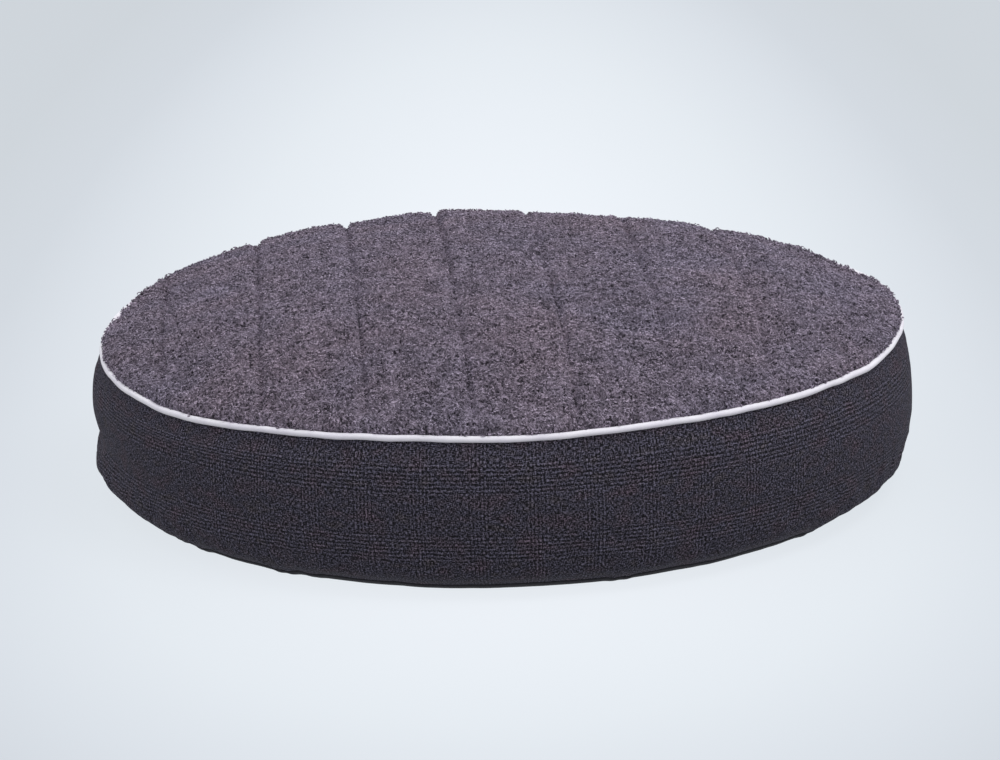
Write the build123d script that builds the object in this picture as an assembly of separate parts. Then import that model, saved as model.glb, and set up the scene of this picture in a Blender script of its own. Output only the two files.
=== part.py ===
# Round quilted pet cushion bed: a zipped outer cover around a fibre-filled inner cushion.
# Millimetres. +Z is up, the origin is the centre of the base, and the zip is at the rear (+Y).

import math
import os

from build123d import *

# ---- Driving dimensions ----
R_BED = 400.0  # greatest radius, at the belly of the side band
R_SEAM = 389.0  # radius of the top seam and of the piping's centre
H_SEAM = 150.0  # height of the piping's centre
R_FOOT = 347.0  # radius of the base that lies flat on the floor
R_BASE_SEAM = 368.5  # radius of the seam between base and side band
H_BASE_SEAM = 8.5  # height of that seam
CROWN_RISE = 59.0  # rise of the fleece's backing from the top seam to the middle
CROWN_POWER = 3.1  # 2 is a round dome, more is flatter on top
PILE = 10.0  # fleece, from its backing to the tips of the pile
CLOTH = 1.2  # side band and base cloth
GAP = 0.3  # between neighbouring layers
ALLOWANCE = 12.0  # cloth turned in behind the top seam
BASE_ALLOWANCE = 9.5  # cloth turned in behind the base seam

QUILT_PITCH = 93.0  # spacing of the quilting rows
QUILT_TURN = 3.3  # degrees that the quilting is turned about Z
QUILT_SHIFT_X = -49.0  # from the middle of the bed to the nearest lengthwise row
QUILT_SHIFT_Y = -18.0  # from the middle of the bed to the nearest crosswise row
QUILT_THREAD_W, QUILT_THREAD_T = 1.0, 0.8
WADDING_T = 8.0
BACKING_T = 0.8
R_QUILT = 366.0  # edge of the wadding and of its backing
R_ROWS = 358.0  # where the rows of thread end
UNDER_QUILT = 14.0  # from the fleece's backing down to the inner cushion

PIPING_R = 3.0
PIPING_WALL = 0.8
SEAM_THREAD_R = 0.4

ZIP_Z = 90.0  # height of the zip's centre line
ZIP_FROM, ZIP_TO = 35.0, 145.0  # azimuths of the two upright join seams, in degrees
JOIN_GAP = 0.04  # degrees left at each join seam
STRIP_HALF_GAP = 5.6  # half the opening between the two zip strips
FOLD_W = 12.0  # width of the strips' folded edges
TAPE_W, TAPE_T = 15.0, 0.8
COIL_W, COIL_T = 2.1, 2.0
COIL_HALF_GAP = 0.9  # half the space between the two coils, where the slider's post runs
R_TAPE = 395.4  # inside radius of the zip tapes
SLIDER_L, SLIDER_W, SLIDER_PLATE = 12.0, 9.2, 1.5
SLIDER_AZIMUTH = 38.0  # where the closed zip's slider stands
SLIDER_TRAVEL = 104.0  # degrees to the open end
TACK_L = 2.0  # length of the bar tack at each end of the zip
PULL_L, PULL_W, PULL_T = 26.0, 7.0, 1.4
PIVOT_R = 0.8  # crossbar that the pull swings on

LABEL_W, LABEL_H, LABEL_T = 38.0, 26.0, 0.5
LABEL_AZIMUTH = 152.0

CASE_T = 0.8  # cloth of the inner cushion's case
R_INNER_TOP = 380.0  # top seam of the inner cushion
H_INNER_TOP = 143.0
R_INNER_BASE = 352.0  # base seam of the inner cushion
H_INNER_BASE = 3.4

# Side band's outside, from the base seam up to the underside of the piping, as radius and height
WALL = [
    (R_BASE_SEAM, H_BASE_SEAM + 0.6),
    (390.5, 25.0),
    (397.8, 55.0),
    (R_BED, ZIP_Z),
    (397.0, 122.0),
    (R_SEAM, H_SEAM - PIPING_R - 0.6),
]
# Inner cushion's side, from its base seam up to its top seam
INNER_WALL = [
    (R_INNER_BASE, H_INNER_BASE + 1.4),
    (362.0, 14.5),
    (381.0, 27.0),
    (389.5, 55.0),
    (391.8, ZIP_Z),
    (389.5, 118.0),
    (R_INNER_TOP, H_INNER_TOP - 0.8),
]


# ---- Surfaces, as the height over a radius ----
def crown(radius, rise=CROWN_RISE, edge=R_SEAM, foot=H_SEAM + GAP):
    return foot + rise * (1 - (radius / edge) ** CROWN_POWER)


def inner_crown(radius):
    """Top of the inner cushion, just under the quilt."""
    rise = crown(0) - UNDER_QUILT - H_INNER_TOP
    return crown(radius, rise, R_INNER_TOP, H_INNER_TOP)


def steps(first, last, count):
    return [first + (last - first) * i / (count - 1) for i in range(count)]


def over(surface, edge, depth, count=8):
    """Points on a surface, this far below it, from the middle out to a radius."""
    return [(r, surface(r) - depth) for r in steps(0.0, edge, count)]


def inward(outline, distance):
    return [(r - distance, z) for r, z in outline]


# ---- Shapes turned about Z. Each run of points is a curve, or a straight line if it has two ----
def turned(*runs, start=0.0, arc=360.0):
    edges = []
    for run, following in zip(runs, runs[1:] + runs[:1]):
        points = [(r, 0, z) for r, z in run]
        if len(points) > 1:
            edges.append(Spline(points) if len(points) > 2 else Line(points))
        edges.append(Line(points[-1], (following[0][0], 0, following[0][1])))
    return Rot(Z=start) * revolve(make_face(edges), Axis.Z, arc)


def band(r0, r1, z0, z1, start=0.0, arc=360.0):
    """A ring, or a piece of one, of rectangular section."""
    return turned([(r0, z0)], [(r1, z0)], [(r1, z1)], [(r0, z1)], start=start, arc=arc)


def round_ring(radius, height, thickness):
    return Pos(Z=height) * Torus(radius, thickness)


def layer(surface, edge, top, bottom):
    """A domed disc between two depths below a surface."""
    return turned(over(surface, edge, top), over(surface, edge, bottom)[::-1])


os.makedirs("parts", exist_ok=True)


def save(shape, name):
    shape.label = name
    export_step(shape, f"parts/{name}.step")


# ---- Quilted top: three layers and the rows of thread that hold them together ----
def sherpa_top_panel():
    tips = over(crown, 383.0, -PILE)
    rim = [(391.2, 158.8), (388.6, 154.6), (384.6, 152.6)]
    seam_roll = [(384.6, H_SEAM + 1.1)], [(374.0, H_SEAM + 1.1)]
    backing = over(crown, 368.0, 0.0)[::-1]
    return turned(tips + rim, *seam_roll, backing)


def quilting_row(at, depth):
    """One row of thread under the backing, along Y at the distance at from the middle."""
    reach = (R_ROWS**2 - at**2) ** 0.5
    along = steps(-reach, reach, 9)
    upper = [(at, y, crown((at**2 + y**2) ** 0.5) - depth) for y in along]
    lower = [(x, y, z - QUILT_THREAD_T) for x, y, z in reversed(upper)]
    outline = [Spline(upper), Line(upper[-1], lower[0]), Spline(lower), Line(lower[-1], upper[0])]
    strip = extrude(make_face(outline), QUILT_THREAD_W, dir=(1, 0, 0))
    return Pos(X=-QUILT_THREAD_W / 2) * strip


def quilting_rows(shift, depth, turn):
    """All rows of one direction."""
    places = [shift + number * QUILT_PITCH for number in range(-5, 6)]
    rows = [quilting_row(at, depth) for at in places if abs(at) < R_ROWS - 20]
    return Rot(Z=turn) * Compound(rows)


BACKING_TOP = WADDING_T + 2 * GAP
ROW_DEPTH = BACKING_TOP + BACKING_T + 0.5
ROW_STEP = QUILT_THREAD_T + 0.2  # the crosswise rows lie just under the lengthwise ones
save(sherpa_top_panel(), "sherpa_top_panel")
save(layer(crown, R_QUILT, GAP, GAP + WADDING_T), "quilt_wadding")
save(layer(crown, R_QUILT, BACKING_TOP, BACKING_TOP + BACKING_T), "quilt_backing")
save(quilting_rows(QUILT_SHIFT_X, ROW_DEPTH, QUILT_TURN), "quilting_rows_lengthwise")
across = quilting_rows(-QUILT_SHIFT_Y, ROW_DEPTH + ROW_STEP, QUILT_TURN - 90)
save(across, "quilting_rows_crosswise")

# ---- Piping and top seam: the tape's two-layer flange lies between fleece and side band ----
def piping_cover():
    """The folded tape: a tube that runs on inward as two layers with a slit between them."""
    centre, reach = Pos(R_SEAM, H_SEAM), R_SEAM - ALLOWANCE / 2 - 1
    section = centre * Circle(PIPING_R) + Pos(reach, H_SEAM) * Rectangle(ALLOWANCE - 2, 2 * PIPING_WALL)
    section -= centre * Circle(PIPING_R - PIPING_WALL)
    section -= Pos(reach - 0.5, H_SEAM) * Rectangle(ALLOWANCE + 1, 0.1)
    return revolve(Plane.XZ * section, Axis.Z, 360)


save(piping_cover(), "top_piping_cover")
save(round_ring(R_SEAM, H_SEAM, PIPING_R - PIPING_WALL - 0.1), "top_piping_cord")
save(round_ring(384.5, 144.6, SEAM_THREAD_R), "top_seam_thread")


# ---- Side band ----
def side_band(start, arc):
    top_r, top_z = WALL[-1]
    foot_r, foot_z = WALL[0]
    lining = inward(WALL[1:-1], CLOTH)
    inside = [(foot_r + 0.8, foot_z + CLOTH)] + lining + [(top_r - CLOTH, top_z - CLOTH)]
    return turned(
        WALL,
        [(top_r - ALLOWANCE, top_z), (top_r - ALLOWANCE, top_z - CLOTH)],
        inside[::-1],
        [(foot_r - BASE_ALLOWANCE, foot_z + CLOTH), (foot_r - BASE_ALLOWANCE, foot_z)],
        start=start,
        arc=arc,
    )


save(side_band(ZIP_TO, 360 - (ZIP_TO - ZIP_FROM)), "boxing_panel")

# ---- Zip strips: the band at the rear, cut along the zip, with folded edges ----
STRIP_START, STRIP_ARC = ZIP_FROM + JOIN_GAP, ZIP_TO - ZIP_FROM - 2 * JOIN_GAP
STITCH_OUT = 8.5  # from the zip's centre line to its topstitching
STITCH_W, STITCH_T = 0.8, 0.6


def zip_strip(side):
    """side is 1 above the zip and -1 below it."""
    strip = side_band(STRIP_START, STRIP_ARC)
    edge = ZIP_Z + side * STRIP_HALF_GAP
    away = ZIP_Z - side * 100
    strip -= band(300, R_BED + 9, min(edge, away), max(edge, away))
    back = edge + side * FOLD_W
    strip += band(R_BED - 2.6, R_BED - 1.0, min(edge, back), max(edge, back), STRIP_START, STRIP_ARC)
    low = ZIP_Z + side * STITCH_OUT - STITCH_W / 2 - 0.1
    return strip - band(R_BED - STITCH_T - 0.2, R_BED + 9, low, low + STITCH_W + 0.2)


def topstitch(side):
    low = ZIP_Z + side * STITCH_OUT - STITCH_W / 2
    outside = R_BED - 0.15
    return band(outside - STITCH_T, outside, low, low + STITCH_W, STRIP_START, STRIP_ARC)


def tape(side):
    near, far = ZIP_Z + side * COIL_HALF_GAP, ZIP_Z + side * (COIL_HALF_GAP + TAPE_W)
    heights = min(near, far), max(near, far)
    return band(R_TAPE, R_TAPE + TAPE_T, *heights, ZIP_FROM - 2, ZIP_TO - ZIP_FROM + 4)


def coil(side):
    near, far = ZIP_Z + side * COIL_HALF_GAP, ZIP_Z + side * (COIL_HALF_GAP + COIL_W)
    inside = R_TAPE + TAPE_T + 0.2
    heights = min(near, far), max(near, far)
    return band(inside, inside + COIL_T, *heights, ZIP_FROM - 2, ZIP_TO - ZIP_FROM + 4)


for word, side in (("upper", 1), ("lower", -1)):
    save(zip_strip(side), f"zip_strip_{word}")
    save(topstitch(side), f"zip_topstitch_{word}")
    save(tape(side), f"zip_tape_{word}")
    save(coil(side), f"zip_teeth_{word}")

# ---- Slider and pull, drawn at azimuth 0 and turned to their place ----
COIL_TOP = R_TAPE + TAPE_T + 0.2 + COIL_T
PLATE_IN = COIL_TOP + 0.4  # inside of the slider's outer plate
PLATE_OUT = PLATE_IN + SLIDER_PLATE
BACK_OUT = R_TAPE - 0.5  # outside of its inner plate
BRIDGE_H, BRIDGE_W, BRIDGE_L, BRIDGE_T = 3.2, 2.2, 8.0, 1.1
PIVOT = PLATE_OUT + 0.25 + PIVOT_R  # radius of the pull's hinge axis


def block(r0, r1, length, height):
    """A block between two radii, its length along the zip, centred on the zip."""
    return Pos((r0 + r1) / 2, 0, ZIP_Z) * Box(r1 - r0, length, height)


def slider():
    plate = block(PLATE_IN, PLATE_OUT, SLIDER_L, SLIDER_W)
    back = block(BACK_OUT - SLIDER_PLATE, BACK_OUT, SLIDER_L, SLIDER_W)
    plate = fillet([e for e in plate.edges() if abs(e.tangent_at(0).X) > 0.9], 2.5)
    back = fillet([e for e in back.edges() if abs(e.tangent_at(0).X) > 0.9], 2.5)
    post = block(BACK_OUT - 0.2, PLATE_IN + 0.2, 4.0, 1.0)
    body = plate + back + Pos(Y=SLIDER_L / 2 - 2.5) * post
    for side in (-1, 1):
        flange_z = side * (SLIDER_W / 2 - 0.5)
        body += Pos(Z=flange_z) * block(R_TAPE + TAPE_T + 0.5, PLATE_IN + 0.2, SLIDER_L - 5.4, 1.0)
    bridge = block(PLATE_OUT - 0.2, PLATE_OUT + BRIDGE_H, BRIDGE_L, BRIDGE_W)
    eye = block(PLATE_OUT, PLATE_OUT + BRIDGE_H - BRIDGE_T, BRIDGE_L - 2.8, BRIDGE_W + 2)
    top_edges = [e for e in bridge.edges().group_by(Axis.X)[-1] if abs(e.tangent_at(0).Z) > 0.9]
    return body + (fillet(top_edges, 1.0) - eye)


def pull():
    arm_in, arm_out = BRIDGE_W / 2 + 0.4, PULL_W / 2 - 0.6
    crossbar = Pos(PIVOT, 0, ZIP_Z) * Cylinder(PIVOT_R, 2 * arm_out)
    grip_from = BRIDGE_L / 2 + 2.0
    grip = Pos(PIVOT, (grip_from + PULL_L) / 2, ZIP_Z) * Box(PULL_T, PULL_L - grip_from, PULL_W)
    grip = fillet([e for e in grip.edges() if abs(e.tangent_at(0).X) > 0.9], 1.6)
    grip -= Pos(PIVOT, PULL_L - 4.5, ZIP_Z) * Rot(Y=90) * Cylinder(1.4, 4)
    body = crossbar + grip
    for side in (-1, 1):
        arm = Pos(PIVOT, (grip_from + 1) / 2, ZIP_Z + side * (arm_in + arm_out) / 2)
        body += arm * Box(PULL_T, grip_from + 1, arm_out - arm_in)
    return body


def bar_tack(azimuth):
    return Rot(Z=azimuth) * block(COIL_TOP + 0.2, COIL_TOP + 1.0, TACK_L, 2 * STRIP_HALF_GAP - 1)


HALF_TURN = math.degrees((SLIDER_L / 2 + TACK_L / 2 + 0.3) / R_BED)
save(Rot(Z=SLIDER_AZIMUTH) * slider(), "zip_slider")
save(Rot(Z=SLIDER_AZIMUTH) * pull(), "zip_pull")
save(bar_tack(SLIDER_AZIMUTH - HALF_TURN), "zip_bar_tack_closed")
save(bar_tack(SLIDER_AZIMUTH + SLIDER_TRAVEL + HALF_TURN), "zip_bar_tack_open")


# ---- Upright join seams, base, label ----
def join_seam(azimuth):
    """A row of thread behind the band, across one upright join."""
    row = turned(inward(WALL[1:-1], 1.6), inward(WALL[1:-1], 2.2)[::-1], start=azimuth, arc=0.12)
    return row - band(300, R_BED, ZIP_Z - 20, ZIP_Z + 20)


def base_panel():
    under = [(R_FOOT, 0.0), (358.0, 1.8), (365.0, 5.0), (R_BASE_SEAM, H_BASE_SEAM)]
    over_it = [(R_BASE_SEAM - CLOTH, H_BASE_SEAM), (364.0, 6.1), (357.3, 3.0), (R_FOOT, CLOTH)]
    return turned([(0.0, 0.0)], under, over_it, [(0.0, CLOTH)])


def care_label():
    outside = R_BED - 6.0
    arc = math.degrees(LABEL_W / outside)
    low = H_BASE_SEAM + 18
    wall = [(391.9, low), (396.2, low + LABEL_H / 2), (398.3, low + LABEL_H)]
    face = [(r + LABEL_T, z) for r, z in wall]
    return turned(wall, face[::-1], start=LABEL_AZIMUTH, arc=arc)


save(join_seam(ZIP_FROM - 0.3), "join_seam_thread_right")
save(join_seam(ZIP_TO + 0.18), "join_seam_thread_left")
save(base_panel(), "base_panel")
save(round_ring(362.0, H_BASE_SEAM + 2.4, SEAM_THREAD_R), "base_seam_thread")
save(care_label(), "care_label")


# ---- Inner cushion ----
def fibre_fill():
    inset = CASE_T + GAP
    top = over(inner_crown, R_INNER_TOP - 3, inset)[::-1]
    return turned([(0.0, H_INNER_BASE + inset)], inward(INNER_WALL, inset), top)


save(layer(inner_crown, R_INNER_TOP - 0.4, 0.0, CASE_T), "inner_case_top")
save(turned(INNER_WALL, inward(INNER_WALL, CASE_T)[::-1]), "inner_case_side")
save(band(0.0, R_INNER_BASE - 0.5, H_INNER_BASE, H_INNER_BASE + CASE_T), "inner_case_base")
save(round_ring(R_INNER_TOP + 1.2, H_INNER_TOP + 0.1, SEAM_THREAD_R), "inner_seam_thread_top")
save(round_ring(R_INNER_BASE + 0.9, H_INNER_BASE + 0.5, SEAM_THREAD_R), "inner_seam_thread_base")
save(fibre_fill(), "fibre_fill")
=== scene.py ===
# Looks of the round quilted pet cushion bed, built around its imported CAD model. Metres, +Z up.
import math

import bpy
import numpy as np
from mathutils import Matrix, Vector


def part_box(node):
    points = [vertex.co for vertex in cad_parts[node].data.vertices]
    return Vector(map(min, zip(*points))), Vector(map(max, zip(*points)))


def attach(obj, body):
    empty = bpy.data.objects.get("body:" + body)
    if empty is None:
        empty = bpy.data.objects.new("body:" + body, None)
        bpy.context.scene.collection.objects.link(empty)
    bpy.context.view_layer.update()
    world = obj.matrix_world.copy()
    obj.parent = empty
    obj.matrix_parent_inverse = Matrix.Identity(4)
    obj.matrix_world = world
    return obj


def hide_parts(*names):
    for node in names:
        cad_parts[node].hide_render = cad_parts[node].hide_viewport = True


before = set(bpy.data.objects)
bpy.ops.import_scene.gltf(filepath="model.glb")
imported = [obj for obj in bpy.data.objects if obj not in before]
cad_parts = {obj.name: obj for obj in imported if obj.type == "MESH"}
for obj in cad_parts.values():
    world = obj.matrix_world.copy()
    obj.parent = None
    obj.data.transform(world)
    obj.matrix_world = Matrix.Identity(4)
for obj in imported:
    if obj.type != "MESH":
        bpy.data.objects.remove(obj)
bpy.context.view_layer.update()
MM = 0.001
FULL_TURN = 2 * math.pi


# ---- Sizes read from the frame ----
def span(node, axis):
    low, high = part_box(node)
    return low[axis], high[axis]


def middle(node, axis):
    return sum(span(node, axis)) / 2


R_BED = span("boxing_panel", 0)[1]
H_SEAM = middle("top_piping_cover", 2)
PIPING_R = (span("top_piping_cover", 2)[1] - span("top_piping_cover", 2)[0]) / 2
R_SEAM = span("top_piping_cover", 0)[1] - PIPING_R
R_BASE_SEAM = span("base_panel", 0)[1]
H_BASE_SEAM = span("base_panel", 2)[1]
H_TOP = span("sherpa_top_panel", 2)[1]
ZIP_Z = middle("zip_slider", 2)
H_INNER_TOP = span("inner_case_side", 2)[1]

# ---- Sizes of the soft shapes ----
CLOTH = 1.2 * MM
PILE = 10 * MM  # fleece, from its backing to the tips of the pile
CROWN_RISE, CROWN_POWER = H_TOP - H_SEAM - PILE, 3.1
DROP = 2 * MM  # how far the sewn rows pull the quilt down
QUILT_PITCH, QUILT_TURN = 93 * MM, math.radians(3.3)
QUILT_SHIFT = (-49 * MM, -18 * MM)  # nearest lengthwise and crosswise rows
R_QUILT, R_ROWS = 366 * MM, 358 * MM
ZIP_FROM, ZIP_TO = math.radians(35), math.radians(145)
JOIN_GAP = math.radians(0.04)
STRIP_HALF_GAP, STITCH_OUT, FOLD_W = 5.6 * MM, 8.5 * MM, 12 * MM
POST_GAP = 0.28 * MM  # between the slider's post and each row of teeth
R_FOOT = 347 * MM  # where the base cloth leaves the floor
CUT_EXTRA = 15 * MM  # added to a top disc's radius when it is cut, for its crown and its seam
LABEL_WIDTH, LABEL_HEIGHT, LABEL_AT = 0.038, 0.026, math.radians(152)
# Radius and height of the two seams' stitches
TOP_SEAM_STITCHES = (384.5 * MM, 144.6 * MM)
BASE_SEAM_STITCHES = (R_BASE_SEAM - 6.5 * MM, H_BASE_SEAM + 2.4 * MM)

# Side band's outline, as radius and height
WALL = [(368.5, 9.1), (390.5, 25), (397.8, 55), (400, 90), (397, 122), (389, 146.4)]
WALL = [(r * MM, z * MM) for r, z in WALL]
INNER_WALL = [(352, 4.8), (362, 14.5), (381, 27), (389.5, 55), (391.8, 90), (389.5, 118), (380, 142.2)]
INNER_WALL = [(r * MM, z * MM) for r, z in INNER_WALL]

# Waves of the top seam round the bed: number of waves, height, and azimuth of a crest
SEAM_WAVES = ((1, 2.5 * MM, -14), (2, 3.2 * MM, -39.5), (3, 4.1 * MM, 24))
# Local dips of that seam: azimuth, height, half-width in degrees
SEAM_DIPS = ((273, -3.2 * MM, 12), (220, -2.2 * MM, 8), (332, -2.0 * MM, 6))
# Dips and swells of the fleece near its rim, in the same form
RIM_DIPS = (
    (21, -12 * MM, 13), (160, -4 * MM, 18), (170, -11 * MM, 9),
    (117, -3 * MM, 6), (102, 4 * MM, 8), (75, -3 * MM, 6),
)
# Dents and swells of the side: azimuth, height, depth, half-width in azimuth and in height
SIDE_DENTS = (
    (182, 67 * MM, -4.5 * MM, 24, 13 * MM),
    (186, 38 * MM, 5.5 * MM, 24, 14 * MM),
    (206, 24 * MM, 2.5 * MM, 15, 14 * MM),
    (0, 38 * MM, -2.5 * MM, 30, 16 * MM),
    (-140, 70 * MM, -1.6 * MM, 9, 30 * MM),
)
# Places where the base seam is bunched up: azimuth, height, half-width in degrees
BASE_BUNCHES = (
    (-147, 2.6 * MM, 1.6), (-141, 2.2 * MM, 1.4), (-124, 2.4 * MM, 2.2),
    (-119, 1.8 * MM, 1.2), (-74, 2.0 * MM, 2.0), (-40, 1.6 * MM, 2.4),
)


def smoothstep(low, high, x):
    t = np.clip((x - low) / (high - low), 0, 1)
    return t * t * (3 - 2 * t)


def plateau(a, b, c, d, x):
    """Rises from 0 at a to 1 at b, and falls from 1 at c to 0 at d."""
    return smoothstep(a, b, x) * (1 - smoothstep(c, d, x))


def bell(x):
    """1 at 0, falling smoothly to nothing either side."""
    return np.exp(-(x**2))


def unit(vectors):
    return vectors / np.linalg.norm(vectors, axis=-1, keepdims=True)


# ---- Noise over a plane, for whole arrays at once ----
def lattice(ix, iy, salt):
    """A fixed pseudo-random number from 0 to 1 for each cell of a grid."""
    h = ix.astype(np.int64) * 374761393 + iy.astype(np.int64) * 668265263 + salt * 974634777
    h = (h ^ (h >> 13)) * 1274126177 & 0x7FFFFFFF
    h = (h ^ (h >> 16)) * 2246822519 & 0x7FFFFFFF
    return ((h ^ (h >> 15)) & 0xFFFFF) / 0xFFFFF


def noise(x, y, salt=0):
    """Smooth noise from -1 to 1 with features about one unit across."""
    x, y = np.broadcast_arrays(x, y)
    ix, iy = np.floor(x), np.floor(y)
    fx, fy = x - ix, y - iy
    fx, fy = fx * fx * (3 - 2 * fx), fy * fy * (3 - 2 * fy)
    a, b = lattice(ix, iy, salt), lattice(ix + 1, iy, salt)
    c, d = lattice(ix, iy + 1, salt), lattice(ix + 1, iy + 1, salt)
    return 2 * ((a + (b - a) * fx) * (1 - fy) + (c + (d - c) * fx) * fy) - 1


def ring_noise(angle, size, salt, height=0.0):
    """Noise on the side of the bed that joins up all round."""
    reach = R_BED / size
    return 0.7 * (
        noise(reach * np.cos(angle) + height / size, reach * np.sin(angle), salt)
        + noise(reach * np.sin(angle), reach * np.cos(angle) + height / size, salt + 1)
    )


def nearest_cells(x, y, salt=0):
    """Distances to the nearest and second nearest of scattered points, one to a unit cell."""
    ix, iy = np.floor(x), np.floor(y)
    first = np.full(x.shape, 9.0)
    second = first.copy()
    for dx in (-1, 0, 1):
        for dy in (-1, 0, 1):
            cx, cy = ix + dx, iy + dy
            px = cx + 0.15 + 0.7 * lattice(cx, cy, salt + 1)
            py = cy + 0.15 + 0.7 * lattice(cx, cy, salt + 2)
            d = np.hypot(px - x, py - y)
            second = np.minimum(second, np.maximum(first, d))
            first = np.minimum(first, d)
    return first, second


def cubic_weights(t):
    """Shares of four neighbouring values at a place t between the middle two."""
    return (
        -0.5 * t + t**2 - 0.5 * t**3, 1 - 2.5 * t**2 + 1.5 * t**3,
        0.5 * t + 2 * t**2 - 1.5 * t**3, -0.5 * t**2 + 0.5 * t**3,
    )


def sample(table, i, j, wrap=False):
    """Smooth lookup in a table at fractional rows and columns. wrap joins the last column to the first."""
    rows, columns = table.shape
    i0, j0 = np.floor(i).astype(int), np.floor(j).astype(int)
    wi, wj = cubic_weights(i - i0), cubic_weights(j - j0)
    total = np.zeros(np.shape(i))
    for a in range(4):
        row = np.clip(i0 + a - 1, 0, rows - 1)
        for b in range(4):
            column = j0 + b - 1
            column = column % columns if wrap else np.clip(column, 0, columns - 1)
            total += wi[a] * wj[b] * table[row, column]
    return total


# ---- Curves and grids ----
def polar(radius, angle, height):
    """Points from arrays or single values that broadcast together."""
    return np.stack(np.broadcast_arrays(radius * np.cos(angle), radius * np.sin(angle), height), -1)


def reach_along(line):
    """Length along a line from its start to each of its points."""
    return np.concatenate([[0], np.cumsum(np.linalg.norm(np.diff(line, axis=0), axis=1))])


def evenly(line, count):
    """The same line as evenly spaced points."""
    reach = reach_along(line)
    at = np.linspace(0, reach[-1], count)
    return np.stack([np.interp(at, reach, line[:, k]) for k in range(line.shape[1])], -1)


def length_of(line):
    return np.linalg.norm(np.diff(line, axis=0), axis=1).sum()


def through(points, count=200):
    """A smooth curve through the points, as evenly spaced points."""
    p = np.array(points, float)
    p = np.vstack([2 * p[0] - p[1], p, 2 * p[-1] - p[-2]])
    t = np.linspace(0, 1, 24, endpoint=False)[:, None]
    spans = [
        b + 0.5 * t * (c - a + t * (2 * a - 5 * b + 4 * c - d + t * (3 * (b - c) + d - a)))
        for a, b, c, d in zip(p, p[1:], p[2:], p[3:])
    ]
    return evenly(np.vstack(spans + [p[-2][None]]), count)


def grid_faces(rows, columns, wrap_rows=False, wrap_columns=False):
    """Quads over a grid of points stored row by row."""
    i = np.arange(rows if wrap_rows else rows - 1)[:, None]
    j = np.arange(columns if wrap_columns else columns - 1)[None, :]
    i2, j2 = (i + 1) % rows, (j + 1) % columns
    quads = [i * columns + j, i * columns + j2, i2 * columns + j2, i2 * columns + j]
    return np.stack([np.broadcast_to(q, (i.size, j.size)) for q in quads], -1).reshape(-1, 4)


def square_to_disc(count):
    """A square grid of points spread evenly over a disc of radius 1."""
    a, b = np.meshgrid(np.linspace(-1, 1, count), np.linspace(-1, 1, count), indexing="ij")
    wide = np.abs(a) > np.abs(b)
    with np.errstate(divide="ignore", invalid="ignore"):
        angle = np.where(wide, math.pi / 4 * b / a, math.pi / 2 - math.pi / 4 * a / b)
    angle = np.nan_to_num(angle)
    r = np.where(wide, a, b)
    return r * np.cos(angle), r * np.sin(angle)


# ---- Mesh building ----
def outward(points, faces):
    """The faces of a closed shape, turned to face out."""
    a, b, c = (points[faces[:, k]] for k in range(3))
    volume = (a * np.cross(b, c)).sum()
    if faces.shape[1] == 4:
        volume += (a * np.cross(c, points[faces[:, 3]])).sum()
    return faces if volume > 0 else faces[:, ::-1]


def make_mesh(name, points, faces, material, maps=None):
    """A mesh object from points and faces with one number of corners. maps has UVs per corner."""
    mesh = bpy.data.meshes.new(name)
    count, sides = faces.shape
    mesh.vertices.add(len(points))
    mesh.vertices.foreach_set("co", np.ascontiguousarray(points, np.float32).ravel())
    mesh.loops.add(count * sides)
    mesh.loops.foreach_set("vertex_index", np.ascontiguousarray(faces, np.int32).ravel())
    mesh.polygons.add(count)
    mesh.polygons.foreach_set("loop_start", np.arange(0, count * sides, sides, dtype=np.int32))
    mesh.update(calc_edges=True)
    if maps is None:
        maps = {"OFBake": plan_map(points, faces)}
    for label, uv in maps.items():
        layer = mesh.uv_layers.new(name=label)
        layer.data.foreach_set("uv", np.ascontiguousarray(uv, np.float32).ravel())
    mesh.shade_smooth()
    obj = bpy.data.objects.new(name, mesh)
    bpy.context.scene.collection.objects.link(obj)
    if material:
        mesh.materials.append(material)
    return obj


def plan_map(points, faces):
    """UVs that look straight down, over the piece's own box."""
    low, high = points[:, :2].min(0), points[:, :2].max(0)
    return ((points[:, :2] - low) / (high - low).max() * 0.98 + 0.01)[faces.ravel()]


def add_cloth_map(obj, plan):
    """Coordinates on the cut cloth for a piece that is cut flat: a place on the plan for each vertex."""
    corner = np.zeros(len(obj.data.loops), np.int32)
    obj.data.loops.foreach_get("vertex_index", corner)
    layer = obj.data.uv_layers.new(name="cloth")
    layer.data.foreach_set("uv", plan[corner].astype(np.float32).ravel())


def place(obj, replaces=(), body="cushion"):
    """Puts a piece on the body that it rides on and hides the CAD nodes that it stands for."""
    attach(obj, body)
    if replaces:
        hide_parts(*replaces)
    return obj


def strip_maps(row, column, rows, columns, size, folds, margin=0.01):
    """UVs for a long strip, from each face corner's row and column in it.

    One map is in metres on the cut cloth, whose length and width are size. The other is the bake map, where
    the strip lies in as many rows as folds says.
    """
    per = math.ceil(columns / folds)
    fold = np.minimum(column.min(1) // per, folds - 1)[:, None]
    bake_u = (column - fold * per) / per * (1 - 2 * margin) + margin
    bake_v = (fold + 0.04 + 0.92 * row / rows) / folds
    return {
        "cloth": np.stack([column / columns * size[0], row / rows * size[1]], -1).reshape(-1, 2),
        "OFBake": np.stack([bake_u, bake_v], -1).reshape(-1, 2),
    }


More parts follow.
